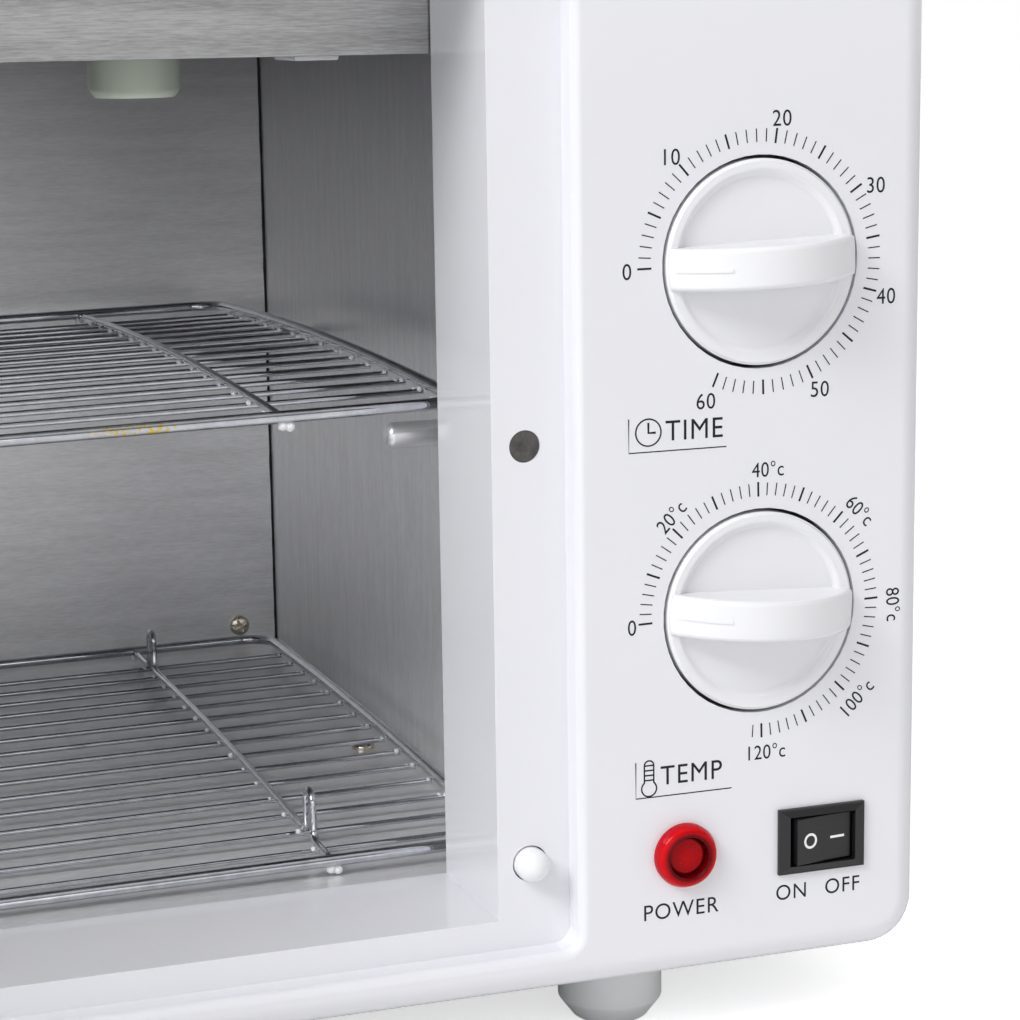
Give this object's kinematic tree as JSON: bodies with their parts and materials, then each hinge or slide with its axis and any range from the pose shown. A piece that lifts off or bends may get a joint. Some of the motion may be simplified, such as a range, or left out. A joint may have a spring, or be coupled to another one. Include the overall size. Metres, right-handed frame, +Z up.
{
  "type": "towel warmer cabinet",
  "caption": "Countertop towel warmer cabinet: heated steel chamber with wire racks, a hinged glass door and a side column with timer, heat dial, lamp and switch.",
  "frame": {"origin": "middle of the cabinet's footprint, on the surface that its feet stand on", "axes": "+Z up, +X to the right seen from the front, +Y from the front to the rear"},
  "size_m": [0.4695, 0.6764, 0.258],
  "materials": {
    "housing_white": "smooth gloss white moulding",
    "casing_white": "white powder coat on sheet steel",
    "brushed_liner": "brushed stainless sheet",
    "chromed_wire": "bright chrome plate",
    "bright_steel": "plain bright steel",
    "nickel_screw": "nickel plate",
    "magnet_grey": "ground and plated",
    "clear_glass": "clear toughened sheet",
    "lamp_glass": "clear quartz tube",
    "starter_green": "translucent pale green-grey",
    "holder_white": "matt white moulding",
    "rocker_black": "gloss black moulding",
    "lens_red": "translucent red moulding",
    "plunger_white": "smooth white moulding",
    "foot_grey": "grey moulding",
    "seal_grey": "soft grey silicone",
    "inner_black": "black moulding",
    "blanket_grey": "glass fibre felt",
    "zinc_sheet": "zinc coated sheet"
  },
  "bodies": {
    "cabinet": {"front_frame": "housing_white", "outer_casing": "casing_white", "base_plate": "zinc_sheet", "rear_panel": "casing_white", "rear_screws": "nickel_screw", "cable_gland": "inner_black", "liner_wrap": "brushed_liner", "liner_back": "brushed_liner", "liner_floor_screws": "nickel_screw", "liner_back_screws": "nickel_screw", "rack_pins": "bright_steel", "upper_rack": "chromed_wire", "lower_rack": "chromed_wire", "lamp_shield": "brushed_liner", "uv_tube": "lamp_glass", "lamp_holder_left": "holder_white", "lamp_holder_right": "holder_white", "starter_socket": "holder_white", "starter": "starter_green", "heating_plate": "zinc_sheet", "insulation_blanket": "blanket_grey", "control_bracket": "zinc_sheet", "timer_body": "inner_black", "heat_control_body": "inner_black", "pilot_lens": "lens_red", "pilot_body": "lens_red", "rocker_housing": "rocker_black", "catch_magnet": "magnet_grey", "door_switch_body": "inner_black", "foot_front_left": "foot_grey", "foot_front_right": "foot_grey", "foot_rear_left": "foot_grey", "foot_rear_right": "foot_grey", "foot_screws": "nickel_screw", "lamp_ballast": "zinc_sheet", "terminal_block": "holder_white", "hinge_plate_bottom": "bright_steel", "hinge_plate_top": "bright_steel", "hinge_pin_bottom": "bright_steel", "hinge_pin_top": "bright_steel"},
    "door": {"door_outer_frame": "housing_white", "door_inner_frame": "housing_white", "door_glass": "clear_glass", "door_gasket": "seal_grey", "strike_plate": "bright_steel", "hinge_bushes": "holder_white", "door_handle": "housing_white", "handle_screws": "nickel_screw"},
    "time_dial": {"time_knob": "housing_white", "timer_shaft": "bright_steel"},
    "temp_dial": {"temp_knob": "housing_white", "heat_control_shaft": "bright_steel"},
    "rocker_switch": {"rocker": "rocker_black"},
    "plunger": {"door_plunger": "plunger_white"}
  },
  "joints": [
    {"name": "door_hinge", "type": "hinge", "parent": "cabinet", "child": "door", "pos_m": [-0.2075, -0.1605, 0.138], "axis": [0, 0, 1], "range_deg": [-20, 90]},
    {"name": "time_turn", "type": "hinge", "parent": "cabinet", "child": "time_dial", "pos_m": [0.185, -0.15, 0.1753], "axis": [0, 1, 0], "range_deg": [0, 294]},
    {"name": "temp_turn", "type": "hinge", "parent": "cabinet", "child": "temp_dial", "pos_m": [0.185, -0.15, 0.0992], "axis": [0, 1, 0], "range_deg": [0, 279]},
    {"name": "rocker_tilt", "type": "hinge", "parent": "cabinet", "child": "rocker_switch", "pos_m": [0.2, -0.1519, 0.046], "axis": [0, 0, 1], "range_deg": [-18, 0]},
    {"name": "plunger_push", "type": "slide", "parent": "cabinet", "child": "plunger", "axis": [0, 1, 0], "range_m": [0, 0.005], "stiffness_N_per_m": 200, "springref_m": -0.005}
  ]
}
